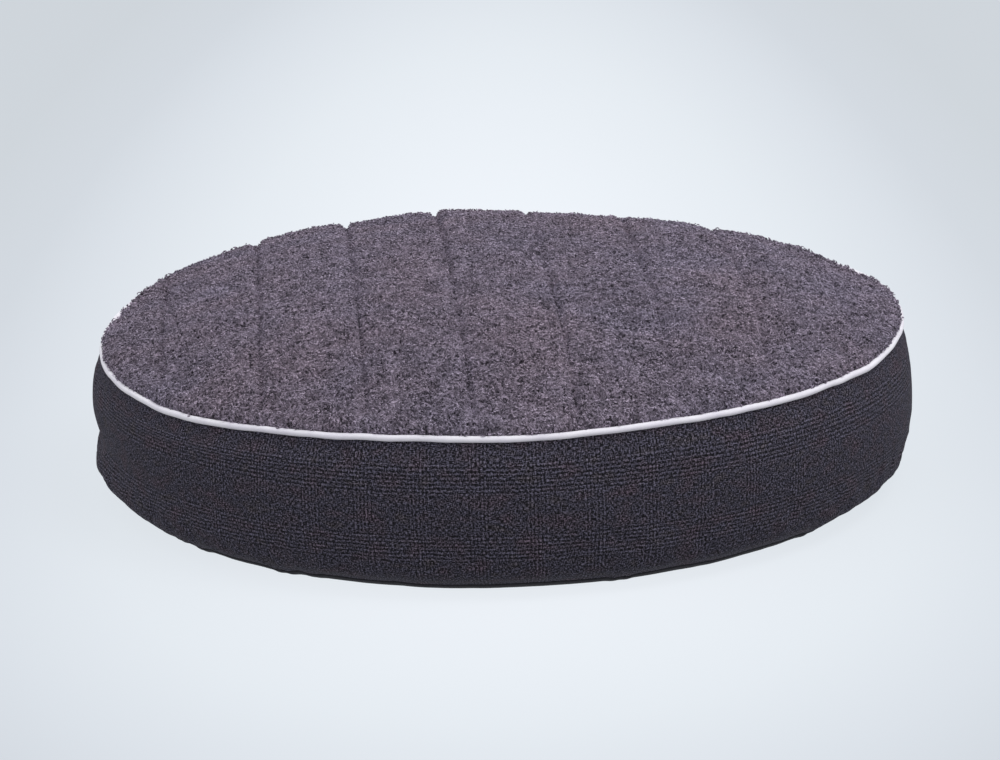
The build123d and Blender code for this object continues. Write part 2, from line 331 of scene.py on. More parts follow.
def shell(name, material, outer, inner, wrap=False, size=None, folds=1):
    """A closed piece between two grids of points. With a size it gets strip_maps, for its weave."""
    rows, columns = outer.shape[:2]
    last = columns if wrap else columns - 1
    i, j = (t.ravel() for t in np.meshgrid(np.arange(rows - 1), np.arange(last), indexing="ij"))
    # each corner of each face as its layer, row and column
    front = np.stack([
        np.stack([0 * i, i, j], -1), np.stack([0 * i, i, j + 1], -1),
        np.stack([0 * i, i + 1, j + 1], -1), np.stack([0 * i, i + 1, j], -1),
    ], 1)
    back = front[:, ::-1].copy()
    back[..., 0] = 1
    parts = [front, back]

    def rim(row, column):
        a = np.stack([0 * row, row, column], -1)
        start, end = a[:-1], a[1:]
        under = np.array([1, 0, 0])
        parts.append(np.stack([end, start, start + under, end + under], 1))

    along, down = np.arange(last + 1), np.arange(rows)
    rim(0 * along, along)
    rim(0 * along + rows - 1, along[::-1])
    if not wrap:
        rim(down, 0 * down + columns - 1)
        rim(down[::-1], 0 * down)
    corners = np.concatenate(parts)
    layer, row, column = corners[..., 0], corners[..., 1], corners[..., 2]
    faces = layer * rows * columns + row * columns + column % columns
    points = np.vstack([outer.reshape(-1, 3), inner.reshape(-1, 3)])
    turned = outward(points, faces)
    if turned is not faces:
        row, column = row[:, ::-1], column[:, ::-1]
    maps = strip_maps(row, column, rows - 1, last, size, folds) if size else None
    return make_mesh(name, points, turned, material, maps)


def strands(name, material, paths, thick, plane, sides=5):
    """Many short tubes as one piece. plane is the normal of the plane that each one bends in."""
    count, steps = paths.shape[:2]
    tangent = unit(np.gradient(paths, axis=1))
    side = unit(np.cross(tangent, np.broadcast_to(plane, paths.shape)))
    other = np.cross(tangent, side)
    turn = np.arange(sides)[:, None] * FULL_TURN / sides
    thick = np.broadcast_to(thick, (count, steps))[..., None, None]
    points = paths[:, :, None] + thick * (
        side[:, :, None] * np.cos(turn) + other[:, :, None] * np.sin(turn)
    )
    quads = grid_faces(steps, sides, wrap_columns=True)
    fan = np.array([(0, k, k + 1) for k in range(1, sides - 1)])
    one = np.vstack([quads[:, :3], quads[:, [0, 2, 3]], fan[:, ::-1], fan + (steps - 1) * sides])
    faces = (np.arange(count)[:, None, None] * steps * sides + one[None]).reshape(-1, 3)
    points = points.reshape(-1, 3)
    return make_mesh(name, points, outward(points, faces), material)


# ---- Materials ----
class Nodes:
    """A material or world under construction: its tree, with short ways to add and link nodes."""

    def __init__(self, owner, shader="Principled BSDF", **settings):
        self.owner = bpy.data.materials.new(owner) if isinstance(owner, str) else owner
        self.owner.use_nodes = True
        self.tree = self.owner.node_tree
        self.shader = self.tree.nodes[shader]
        for socket, value in settings.items():
            self.shader.inputs[socket.replace("_", " ")].default_value = value

    def feed(self, socket, value):
        if isinstance(value, bpy.types.NodeSocket):
            self.tree.links.new(value, socket)
        else:
            socket.default_value = value

    def add(self, kind, settings=None, out=0, **inputs):
        node = self.tree.nodes.new("ShaderNode" + kind)
        for key, value in (settings or {}).items():
            setattr(node, key, value)
        for socket, value in inputs.items():
            number = socket[1:]
            self.feed(node.inputs[int(number) if number.isdigit() else socket.replace("_", " ")], value)
        return node.outputs[out]

    def math(self, operation, a, b=0.0, c=0.0):
        return self.add("Math", {"operation": operation}, i0=a, i1=b, i2=c)

    def mix(self, factor, a, b, blend="MIX"):
        settings = {"data_type": "RGBA", "blend_type": blend}
        return self.add("Mix", settings, out=2, i0=factor, i6=a, i7=b)

    def ramp(self, factor, *stops):
        node = self.tree.nodes.new("ShaderNodeValToRGB")
        self.tree.links.new(factor, node.inputs[0])
        while len(node.color_ramp.elements) < len(stops):
            node.color_ramp.elements.new(0.5)
        for element, (at, colour) in zip(node.color_ramp.elements, stops):
            element.position = at
            element.color = colour if isinstance(colour, tuple) else (colour, colour, colour, 1)
        return node.outputs[0]

    def at(self):
        """The piece's own coordinates, in metres."""
        return self.add("TexCoord", out=3)

    def cloth(self):
        """Coordinates along and across the cut cloth, in metres."""
        return self.add("UVMap", {"uv_map": "cloth"})

    def scaled(self, vector, along, across):
        return self.add("Mapping", Vector=vector, Scale=(along, across, 1))

    def noise(self, scale, detail=2.0, roughness=0.5, vector=None, distortion=0.0):
        return self.add(
            "TexNoise", Vector=vector or self.at(), Scale=scale, Detail=detail,
            Roughness=roughness, Distortion=distortion,
        )

    def threads(self, fine, coarse, detail=1.0, roughness=0.5, vector=None):
        """Noise stretched along the warp plus noise stretched along the weft, on the cut cloth."""
        vector = vector or self.cloth()
        warp = self.noise(1.0, detail, roughness, self.scaled(vector, fine, coarse))
        weft = self.noise(1.0, detail, roughness, self.scaled(vector, coarse, fine))
        return self.math("ADD", warp, weft)

    def split(self, vector):
        """The x, y and z of a vector."""
        node = self.tree.nodes.new("ShaderNodeSeparateXYZ")
        self.tree.links.new(vector, node.inputs[0])
        return node.outputs

    def bump(self, height, distance, strength=1.0):
        return self.add("Bump", Height=height, Distance=distance, Strength=strength)

    def use(self, colour=None, normal=None):
        if colour is not None:
            self.feed(self.shader.inputs["Base Color"], colour)
        if normal is not None:
            self.feed(self.shader.inputs["Normal"], normal)
        return self.owner


def rgb(r, g, b):
    """A screen colour, 0 to 255, as linear RGBA."""
    def linear(c):
        c /= 255
        return c / 12.92 if c <= 0.04045 else ((c + 0.055) / 1.055) ** 2.4
    return linear(r), linear(g), linear(b), 1.0


def fleece_material(name, cool, warm, gap_shade):
    """Purple-grey sherpa: patches of warmer and cooler fibre, darkened by painted shade between locks. The
    last argument is the darkest share that this painted shade leaves.
    """
    n = Nodes(name, Roughness=0.92, Sheen_Weight=0.3, Sheen_Roughness=0.5, Specular_IOR_Level=0.12)
    n.shader.inputs["Sheen Tint"].default_value = rgb(190, 182, 205)
    patches = n.ramp(n.noise(8.0, 3.0, 0.6), (0.36, cool), (0.64, warm))
    # painted shade: dark gaps between tufts, where shade falls among the pile, closer together in some
    # places than in others
    crowd = n.math("MULTIPLY", n.noise(26.0, 2.0, 0.5), 0.18)
    between = n.math("ADD", n.noise(250.0, 2.0, 0.5, distortion=1.5), crowd)
    painted_gap_shade = n.ramp(between, (0.48, gap_shade), (0.545, 1.05))
    fine = n.ramp(n.noise(480.0, 2.0, 0.7), (0.38, 0.46), (0.62, 1.4))
    # whole locks differ too
    clumps = n.ramp(n.noise(165.0, 2.0, 0.6, distortion=1.0), (0.37, 0.62), (0.61, 1.29))
    fine = n.math("MULTIPLY", fine, clumps)
    # the fibre colour is darkened here by the painted shade between tufts
    colour = n.mix(1.0, n.mix(1.0, patches, fine, "MULTIPLY"), painted_gap_shade, "MULTIPLY")
    fibres = n.noise(900.0, 3.0, 0.7, distortion=1.0)
    return n.use(colour, n.bump(fibres, 0.0006, 0.5))


def checked_cloth():
    """Charcoal glen check: groups of fine stripes both ways over a slubby plain weave."""
    n = Nodes("checked_cloth", Roughness=0.95, Specular_IOR_Level=0.12)
    along, up, _ = n.split(n.cloth())

    def stripes(t, repeat, shift, pitch, share):
        """Fine lines at a pitch, shown over a share of each repeat."""
        turn = n.math("FRACT", n.math("MULTIPLY_ADD", t, 1 / repeat, shift))
        shown = n.ramp(turn, (0.0, 0.0), (0.03, 1.0), (share, 1.0), (share + 0.03, 0.0))
        line = n.math("SINE", n.math("MULTIPLY", t, FULL_TURN / pitch))
        return n.math("MULTIPLY", line, shown)

    upright = stripes(along, repeat=0.0523, shift=0.015, pitch=0.0034, share=0.40)
    level = stripes(up, repeat=0.0645, shift=0.247, pitch=0.00367, share=0.43)
    slub = n.math("SUBTRACT", n.threads(1080, 360, detail=2.0, roughness=0.6), 1.0)
    tone = n.math("MULTIPLY_ADD", slub, 14.5, 0.9)
    tone = n.math("MULTIPLY_ADD", upright, 0.72, tone)
    tone = n.math("MULTIPLY_ADD", level, 1.0, tone)
    tone = n.math("MAXIMUM", tone, 0.18)
    tint = n.noise(1.0, 2.0, 0.6, n.scaled(n.cloth(), 34, 52))
    base = n.ramp(
        tint, (0.3, rgb(57, 53, 58)), (0.45, rgb(55, 53, 63)),
        (0.55, rgb(57, 53, 61)), (0.7, rgb(61, 53, 61)),
    )
    grey = n.add("CombineColor", i0=tone, i1=tone, i2=tone)
    colour = n.mix(1.0, base, grey, "MULTIPLY")
    height = n.math("MULTIPLY_ADD", n.math("ADD", upright, level), 0.15, slub)
    return n.use(colour, n.bump(height, 0.0003, 0.5))


def woven(name, light, dark, thread=0.0008, **principled):
    """Plain-woven cloth of one colour, on coordinates along the cloth."""
    n = Nodes(name, **{"Roughness": 0.85, "Specular_IOR_Level": 0.25, **principled})
    weave = n.math("MULTIPLY", n.threads(1 / thread, 0.15 / thread), 0.5)
    return n.use(n.ramp(weave, (0.38, dark), (0.62, light)), n.bump(weave, thread * 0.4, 0.6))


def spun(name, light, dark, grain=700.0, **principled):
    """Thread, fibre or other soft stuff, coloured by place."""
    n = Nodes(name, **{"Roughness": 0.85, "Specular_IOR_Level": 0.25, **principled})
    tone = n.noise(grain, 3.0, 0.65)
    return n.use(n.ramp(tone, (0.35, dark), (0.65, light)), n.bump(tone, 0.4 / grain, 0.5))


def piping_tape():
    """White bias-cut cotton, its threads running slantwise round the cord."""
    n = Nodes("piping_tape", Roughness=0.8, Specular_IOR_Level=0.25, Sheen_Weight=0.4)
    slant = n.add("Mapping", Vector=n.cloth(), Rotation=(0, 0, math.radians(45)))
    weave = n.math("MULTIPLY", n.threads(1500, 260, vector=slant), 0.5)
    soiled = n.noise(40.0, 2.0, 0.6, n.cloth())
    soft = n.ramp(soiled, (0.3, rgb(238, 233, 243)), (0.7, rgb(250, 247, 252)))
    colour = n.mix(1.0, soft, n.ramp(weave, (0.35, 0.92), (0.6, 1.0)), "MULTIPLY")
    return n.use(colour, n.bump(weave, 0.0003, 0.5))


def dark_metal():
    n = Nodes("zip_metal", Metallic=1.0, Roughness=0.36)
    worn = n.ramp(n.noise(500.0, 3.0, 0.6), (0.35, rgb(84, 82, 86)), (0.75, rgb(112, 109, 114)))
    return n.use(worn, n.bump(n.noise(1500.0), 0.00005, 0.3))


# ---- Light, floor and camera ----
def softbox(name, at, size, power):
    light = bpy.data.lights.new(name, "AREA")
    light.shape, light.size, light.energy = "DISK", size, power
    lamp = bpy.data.objects.new(name, light)
    lamp.location = at
    lamp.rotation_euler = (Vector((0, 0, 0.1)) - lamp.location).to_track_quat("-Z", "Y").to_euler()
    bpy.context.scene.collection.objects.link(lamp)


def build_stage():
    # bright overhead and dim below, like a room lit from above
    n = Nodes(bpy.data.worlds.new("soft_room"), "Background", Strength=0.88)
    bpy.context.scene.world = n.owner
    up = n.split(n.add("TexCoord"))[2]
    n.feed(n.shader.inputs["Color"], n.ramp(up, (0.0, (0.38, 0.39, 0.42, 1)), (0.12, (0.95, 0.965, 1.0, 1))))
    softbox("key_light", (1.3, -0.9, 3.0), 1.6, 30)
    softbox("back_light", (0.4, 2.4, 2.6), 2.2, 12)

    # painted light: the floor glows, with only a dim diffuse colour under the glow, so the bed's shadow on
    # it stays faint
    n = Nodes("floor", Roughness=0.95, Specular_IOR_Level=0.0, Emission_Strength=0.87)
    # painted pool of light, brightest round the bed, falling off sooner beside it and in front of it than
    # behind
    beside, before, behind = 0.72, 1.15, 4.4
    x, y, _ = n.split(n.at())
    y = n.math("ADD", y, 0.1)
    y = n.math("MAXIMUM", n.math("MULTIPLY", y, -1 / before), n.math("MULTIPLY", y, 1 / behind))
    spot = n.add("CombineXYZ", i0=n.math("MULTIPLY", x, 1 / beside), i1=y, i2=0.0)
    away = n.add("VectorMath", {"operation": "LENGTH"}, out=1, i0=spot)
    tone = n.ramp(
        away, (0.0, rgb(242, 247, 252)), (0.26, rgb(241, 246, 252)), (0.52, rgb(231, 237, 243)),
        (0.7, rgb(221, 227, 234)), (0.82, rgb(213, 219, 226)), (1.0, rgb(209, 215, 221)),
    )
    n.feed(n.shader.inputs["Emission Color"], tone)
    n.use(n.mix(1.0, tone, (0.11, 0.11, 0.11, 1), "MULTIPLY"), n.bump(n.noise(90.0), 0.0002, 0.2))
    half = 60.0
    corners = np.array([(-half, -half, 0), (half, -half, 0), (half, half, 0), (-half, half, 0)])
    floor = make_mesh("floor", corners, np.array([[0, 1, 2, 3]]), n.owner)
    floor.visible_diffuse = False


def build_camera():
    """Looks down by about 16 degrees from 3.85 m, turned a little, as the bed was photographed."""
    down, far, aim = math.radians(16.12), 3.854, Vector((0, 0, 0.08))
    at = aim + Vector((0, -far * math.cos(down), far * math.sin(down)))
    up = Vector((0, math.sin(down), math.cos(down)))
    target = aim + Vector((-0.0029, 0, 0)) + up * 0.01375
    data = bpy.data.cameras.new("camera")
    data.sensor_width, data.lens = 36, 141.1
    camera = bpy.data.objects.new("camera", data)
    camera.location = at
    turn = (target - at).to_track_quat("-Z", "Y").to_matrix().to_4x4()
    camera.rotation_euler = (turn @ Matrix.Rotation(math.radians(-1.69), 4, "Z")).to_euler()
    bpy.context.scene.collection.objects.link(camera)
    bpy.context.scene.camera = camera


# ---- Cloth simulation: how the sewn-down cloth puffs and creases between its seams ----
def blown(rest, held, pressure, spare, wrap=False, frames=22):
    """Where a grid of cloth goes when held at some points, cut too big by a share spare, and blown out."""
    rows, columns = held.shape
    faces = grid_faces(rows, columns, wrap_columns=wrap)
    obj = make_mesh("simulated_cloth", rest.reshape(-1, 3), faces, None)
    group = obj.vertex_groups.new(name="held")
    group.add([int(k) for k in np.flatnonzero(held)], 1.0, "REPLACE")
    modifier = obj.modifiers.new("cloth", "CLOTH")
    cloth = modifier.settings
    cloth.quality, cloth.mass, cloth.air_damping = 6, 0.25, 4.0
    cloth.tension_stiffness = cloth.compression_stiffness = 25
    cloth.shear_stiffness, cloth.bending_stiffness = 8, 0.25
    cloth.vertex_group_mass = "held"
    cloth.use_pressure, cloth.uniform_pressure_force = True, pressure
    cloth.shrink_min = -spare
    cloth.effector_weights.gravity = 0
    modifier.collision_settings.use_collision = False
    modifier.point_cache.frame_end = frames
    scene = bpy.context.scene
    for number in range(1, frames + 1):
        scene.frame_set(number)
    settled = obj.evaluated_get(bpy.context.evaluated_depsgraph_get()).data
    places = np.zeros(rows * columns * 3, np.float32)
    settled.vertices.foreach_get("co", places)
    mesh = obj.data
    bpy.data.objects.remove(obj)
    bpy.data.meshes.remove(mesh)
    scene.frame_set(1)
    return places.reshape(rows, columns, 3)


CELLS = 16  # simulated cells between two quilting rows
QUILT_REACH = 72  # simulated cells from the middle to each side


def simulated_puff():
    """Height of the quilted cloth over its rows, on a grid in line with them."""
    step = QUILT_PITCH / CELLS
    number = np.arange(-QUILT_REACH, QUILT_REACH + 1)
    u, v = np.meshgrid(number * step + QUILT_SHIFT[0], number * step + QUILT_SHIFT[1], indexing="ij")
    rest = np.stack([u, v, noise(u / 0.02, v / 0.02, 3) * 0.2 * MM], -1)
    on_row = number % CELLS == 0
    held = on_row[:, None] | on_row[None, :] | (np.hypot(u, v) > R_SEAM - 16 * MM)
    height = blown(rest, held, 2.0, 0.012)[..., 2]
    return np.clip(height, -1 * MM, 9 * MM)


BAND_COLUMNS, BAND_ROWS = 420, 28


def simulated_side():
    """How far the side band's cloth stands out from its plain outline, less the mean at each height."""
    line = through(WALL, BAND_ROWS)
    angle = np.arange(BAND_COLUMNS) * FULL_TURN / BAND_COLUMNS
    rough = ring_noise(angle[None], 0.03, 9, line[:, 1:]) * 0.4 * MM
    rest = polar(line[:, :1] + rough, angle[None], line[:, 1:])
    held = np.zeros((BAND_ROWS, BAND_COLUMNS), bool)
    held[[0, -1]] = True
    at_join = np.minimum(np.abs(angle - ZIP_FROM), np.abs(angle - ZIP_TO)) < 0.009
    held[:, at_join] = True
    places = blown(rest, held, 1.0, 0.012, wrap=True)
    push = np.hypot(places[..., 0], places[..., 1]) - line[:, :1]
    push -= push.mean(axis=1, keepdims=True)
    return np.clip(push, -4 * MM, 4 * MM)


build_stage()
build_camera()
bpy.context.scene.view_settings.view_transform = "Standard"
PUFF = simulated_puff()
SIDE = simulated_side()


# ---- How the filling and the sewing have settled every soft piece ----
def degrees_off(angle, at):
    """How far angles, in radians, are from an azimuth in degrees, the short way round."""
    return (np.degrees(angle) - at + 180) % 360 - 180


def local(angle, places):
    """Smooth bumps at azimuths: each place is its azimuth, height and half-width in degrees."""
    total = 0 * angle
    for at, height, wide in places:
        total = total + height * bell(degrees_off(angle, at) / wide)
    return total


def seam_wave(angle):
    """How far the top seam stands above its mean height at an azimuth."""
    waves = sum(h * np.cos(n * (angle - math.radians(at))) for n, h, at in SEAM_WAVES)
    return waves + local(angle, SEAM_DIPS)


def quilt_place(x, y):
    """The same place in a frame in line with the quilting rows."""
    u = x * math.cos(QUILT_TURN) + y * math.sin(QUILT_TURN)
    v = -x * math.sin(QUILT_TURN) + y * math.cos(QUILT_TURN)
    return u, v


def row_distances(x, y):
    """Distance from the nearest lengthwise and crosswise quilting rows."""
    half = QUILT_PITCH / 2
    return tuple(
        np.abs((t - shift + half) % QUILT_PITCH - half) for t, shift in zip(quilt_place(x, y), QUILT_SHIFT)
    )


def puff(x, y):
    """Height of the quilted pillows over their rows."""
    du, dv = row_distances(x, y)
    pulled = (1 - np.exp(-du / (9 * MM))) * (1 - 0.7 * np.exp(-dv / (9 * MM)))
    if PUFF is None:
        return 4 * MM * pulled
    u, v = quilt_place(x, y)
    step = QUILT_PITCH / CELLS
    i, j = (u - QUILT_SHIFT[0]) / step + QUILT_REACH, (v - QUILT_SHIFT[1]) / step + QUILT_REACH
    return 2.2 * MM * pulled + 0.7 * sample(PUFF, i, j)


def top_lumps(x, y):
    """Low waves from side to side and broader lumps of the filling."""
    waves = noise(x / 0.13, y / 0.034, 8) * 2.5 * MM
    return waves + noise(x / 0.08, y / 0.07, 5) * 1.6 * MM + noise(x / 0.17, y / 0.15, 6) * 2.2 * MM - DROP


def side_push(angle, z):
    """How far the side stands out from its plain outline. The zip's own place stays as it is."""
    angle = (angle + math.pi) % FULL_TURN - math.pi
    push = ring_noise(angle, 0.13, 11, z) * 1.6 * MM + ring_noise(angle, 0.05, 13, z * 1.5) * 0.7 * MM
    for at, height, depth, wide, tall in SIDE_DENTS:
        push = push + depth * bell(degrees_off(angle, at) / wide) * bell((z - height) / tall)
    if SIDE is not None:
        row = (z - WALL[0][1]) / (WALL[-1][1] - WALL[0][1]) * (BAND_ROWS - 1)
        push = push + sample(SIDE, row, (angle % FULL_TURN) / FULL_TURN * BAND_COLUMNS, wrap=True)
    gathers = ring_noise(angle, 0.016, 15) + 0.6 * ring_noise(angle, 0.009, 17)
    near_base = plateau(WALL[0][1], 18 * MM, 20 * MM, 52 * MM, z)
    under_seam = H_SEAM - z
    near_top = plateau(3 * MM, 9 * MM, 9 * MM, 30 * MM, under_seam)
    push = push * smoothstep(WALL[0][1], 34 * MM, z) * smoothstep(4 * MM, 26 * MM, under_seam)
    push = push + gathers * (1.3 * near_base + 0.5 * near_top) * MM
    zip_zone = plateau(ZIP_FROM - 0.06, ZIP_FROM - 0.01, ZIP_TO + 0.01, ZIP_TO + 0.06, angle)
    zip_zone = zip_zone * (1 - smoothstep(17 * MM, 30 * MM, np.abs(z - ZIP_Z)))
    return push * (1 - zip_zone)


def base_ripple(angle, r, z):
    """Waves of the base seam, which stand up from the floor."""
    wave = 0.7 * ring_noise(angle, 0.04, 19) + 0.4 * ring_noise(angle, 0.012, 21)
    wave = wave * MM
    for at, height, wide in BASE_BUNCHES:
        off = degrees_off(angle, at)
        wave = wave - height * bell(off / wide) * (1 - 0.3 * np.cos(off * 2.5))
    return wave * smoothstep(R_FOOT + 3 * MM, R_BASE_SEAM, r) * (1 - smoothstep(12 * MM, 34 * MM, z))


def settle(points, puffed=0.0):
    """Moves points of the plain shapes to where the settled cloth has them.

    puffed is how much of the quilting's puff they take up, from 0 to 1.
    """
    x, y, z = points[..., 0], points[..., 1], points[..., 2]
    r, angle = np.hypot(x, y), np.arctan2(y, x)
    push = side_push(angle, z) * smoothstep(0.6, 0.92, r / R_SEAM)
    above = smoothstep(ZIP_Z + 20 * MM, H_SEAM - 4 * MM, z)
    lift = seam_wave(angle) * above * smoothstep(0.45, 1.0, r / R_SEAM)
    on_top = above * (1 - smoothstep(0.9, 0.985, r / R_SEAM))
    lift = lift + (top_lumps(x, y) + puffed * puff(x, y)) * on_top + base_ripple(angle, r, z)
    lift = lift + local(angle, RIM_DIPS) * above * plateau(0.5, 0.9, 0.96, 0.995, r / R_SEAM)
    moved = points.copy()
    moved[..., 0] += push * np.cos(angle)
    moved[..., 1] += push * np.sin(angle)
    moved[..., 2] = np.maximum(z + lift, np.minimum(z, 0.2 * MM))
    return moved


# ---- Fleece ----
def crown(r):
    """Height of the fleece's plain backing at a radius."""
    return H_SEAM + CROWN_RISE * (1 - (r / R_SEAM) ** CROWN_POWER)


def fleece_profile():
    """The fleece backing's outline: arc length, radius, height and outward normal."""
    edge, roll = 378 * MM, 7 * MM
    r = np.linspace(0, edge, 400)
    z = crown(r)
    slope = math.atan2(z[-2] - z[-1], r[-1] - r[-2])
    turn = np.linspace(slope, math.radians(105), 30)[1:]
    arc_r = r[-1] + roll * (np.sin(turn) - math.sin(slope))
    arc_z = z[-1] - roll * (math.cos(slope) - np.cos(turn))
    line = evenly(np.stack([np.concatenate([r, arc_r]), np.concatenate([z, arc_z])], -1), 1500)
    tangent = unit(np.gradient(line, axis=0))
    return reach_along(line), line[:, 0], line[:, 1], -tangent[:, 1], tangent[:, 0]


PROFILE = fleece_profile()
REACH = PROFILE[0][-1]  # from the middle of the fleece to its seam, along the cloth


def fleece_base(x, y):
    """The backing under each point of the flat fleece: place, outward normal, and how free the pile is."""
    s, angle = np.hypot(x, y), np.arctan2(y, x)
    reach = PROFILE[0]
    r, z, nr, nz = (np.interp(s, reach, line) for line in PROFILE[1:])
    normal = polar(nr, angle, nz)
    point = settle(polar(r, angle, z), puffed=1.0)
    px, py = r * np.cos(angle), r * np.sin(angle)
    wander = 1.0 * MM * noise(px / 0.02, py / 0.02, 71)
    du, dv = row_distances(px + wander, py + wander)
    inside = s / REACH
    pull = 0.74 + 0.22 * noise(px / 0.06, py / 0.06, 72)
    sewn = pull * np.minimum(bell(du / (3.8 * MM)) + 0.8 * bell(dv / (3.0 * MM)), 1.0)
    free = 1 - sewn * (1 - smoothstep(0.93, 0.97, inside))
    free *= 1 - 0.7 * smoothstep(1 - 6 * MM / REACH, 1.0, inside)
    return point, normal, free


def tufts(x, y):
    """How far the pile stands up, from about 0 to 1, in locks about 5 mm across."""
    wx = x + 1.8 * MM * noise(x / 0.006, y / 0.006, 21)
    wy = y + 1.8 * MM * noise(x / 0.006, y / 0.006, 22)
    first, second = nearest_cells(wx / (5.4 * MM), wy / (5.4 * MM), 31)
    pits = 1 - smoothstep(0.0, 0.42, second - first)
    pits = pits * smoothstep(-0.35, 0.35, noise(x / 0.009, y / 0.009, 33))
    return 1 - 1.15 * pits + 0.3 * noise(x / 0.016, y / 0.016, 34)


def build_fleece(material):
    """The dense pile as one closed form, its underside drawn in over a few rings."""
    count = 640
    x, y = (t.ravel() * REACH for t in square_to_disc(count))
    point, normal, free = fleece_base(x, y)
    small_first, small_second = nearest_cells(x / (2.6 * MM), y / (2.6 * MM), 41)
    curl = smoothstep(0.0, 0.4, small_second - small_first)
    height = PILE * (0.3 + 0.4 * tufts(x, y) + 0.18 * curl)
    point += normal * (height * free)[:, None]
    index = np.arange(count * count).reshape(count, count)
    edge = np.concatenate([index[0, :-1], index[:-1, -1], index[-1, :0:-1], index[:0:-1, 0]])
    ring, points, quads = edge, [point], [grid_faces(count, count)]
    start = len(point)
    for share in (0.985, 0.95, 0.8, 0.6, 0.4, 0.2, 0.02):
        inner = polar(share * (R_SEAM - 8 * MM), np.arctan2(y[edge], x[edge]), 0)
        inner[:, 2] = crown(share * R_SEAM)
        inner = settle(inner)
        inner[:, 2] = np.minimum(inner[:, 2] + 0.5 * MM, point[edge, 2] + 60 * MM)
        points.append(inner)
        new = start + np.arange(len(edge))
        quads.append(np.stack([np.roll(ring, -1), ring, new, np.roll(new, -1)], -1))
        ring, start = new, start + len(edge)
    pairs = ring.reshape(-1, 2)
    points.append(settle(np.array([[0, 0, crown(0)]])))
    hub = np.full(len(pairs), start)
    quads.append(np.stack([np.roll(pairs[:, 0], -1), pairs[:, 1], pairs[:, 0], hub], -1))
    points, faces = np.vstack(points), np.vstack(quads)
    top = make_mesh("quilted_sherpa_top", points, outward(points, faces), material)
    place(top, ("sherpa_top_panel",))


def scattered_locks():
    """Places of the locks on the flat fleece, each with a whole number that is its own in i and j."""
    spacing, rim, seam_gap = 2.75 * MM, 12 * MM, 2.4 * MM
    side = int(2 * REACH / spacing) + 3
    i, j = (t.ravel() for t in np.meshgrid(np.arange(side), np.arange(side), indexing="ij"))
    x = (i + lattice(i, j, 101)) * spacing - REACH - spacing
    y = (j + lattice(i, j, 102)) * spacing - REACH - spacing
    # a second lot over the rolled rim, where the pile is seen from the side
    first = len(x)
    keep = np.concatenate([np.ones(first, bool), np.hypot(x, y) > REACH - rim])
    x, y = np.tile(x, 2), np.tile(y, 2)
    i, j = np.concatenate([i, i + 7 * side]), np.tile(j, 2)
    x[first:] += lattice(i[first:], j[first:], 103) * spacing
    keep &= np.hypot(x, y) < REACH - seam_gap
    return x[keep], y[keep], i[keep], j[keep]


def build_locks(material):
    """Short curled locks of pile standing on the fleece, in sectors."""
    x, y, i, j = scattered_locks()
    point, normal, free = fleece_base(x, y)
    share = [lattice(i, j, 110 + k) for k in range(9)]
    # combed one way over a few centimetres, then another
    comb = FULL_TURN * (0.5 * noise(x / 0.035, y / 0.035, 120) + 0.45 * (share[0] - 0.5)) + 0.6
    along = np.stack([np.cos(comb), np.sin(comb), 0 * x], -1)
    across = unit(np.cross(normal, along))
    along = np.cross(across, normal)
    lean = ((share[1] - 0.5) * 1.7)[:, None]
    up = normal * np.cos(lean) + across * np.sin(lean)
    level = across * np.cos(lean) - normal * np.sin(lean)
    loop = (0.9 + 1.2 * share[2]) * MM
    stand = PILE * (0.34 + 0.42 * tufts(x, y) + 0.22 * share[3]) * free
    centre = point + normal * stand[:, None]
    start = math.radians(30) + math.radians(200) * (share[4] - 0.5)
    sweep = math.radians(90) + math.radians(150) * share[5]
    rise = (share[6] - 0.4) * 2.6 * MM
    steps = 5
    path = []
    for k in range(steps):
        t = k / (steps - 1)
        turn = start + sweep * t
        wide = loop * (1 + 0.35 * (share[8] - 0.5) * (t - 0.5) * 4)
        path.append(
            centre + along * (wide * np.cos(turn))[:, None] + level * (wide * np.sin(turn))[:, None]
            + up * (rise * (t - 0.5))[:, None]
        )
    path = np.stack(path, 1)
    thick = (0.5 + 0.25 * share[7])[:, None] * MM * np.array([0.6, 1.05, 1.1, 1.0, 0.4])
    sectors = 8
    sector = ((np.arctan2(y, x) + math.pi) / FULL_TURN * sectors).astype(int) % sectors
    for number in range(sectors):
        mine = sector == number
        name, plane = f"pile_locks_{number + 1}", up[mine][:, None]
        place(strands(name, material, path[mine], thick[mine], plane, sides=3))


# ---- Quilt under the fleece ----
def disc_layer(name, material, radius, upper, lower, count=150, puffed=(0, 0)):
    """A closed layer between two heights over the radius."""
    x, y = (t * radius for t in square_to_disc(count))
    r = np.hypot(x, y)
    outer = settle(np.stack([x, y, upper(r)], -1), puffed[0])
    inner = settle(np.stack([x, y, lower(r)], -1), puffed[1])
    obj = shell(name, material, outer, inner)
    add_cloth_map(obj, np.vstack([outer.reshape(-1, 3), inner.reshape(-1, 3)])[:, :2])
    return obj


def under_crown(depth):
    """A height over the radius for disc_layer, so deep under the fleece's backing."""
    return lambda r: crown(r) - depth


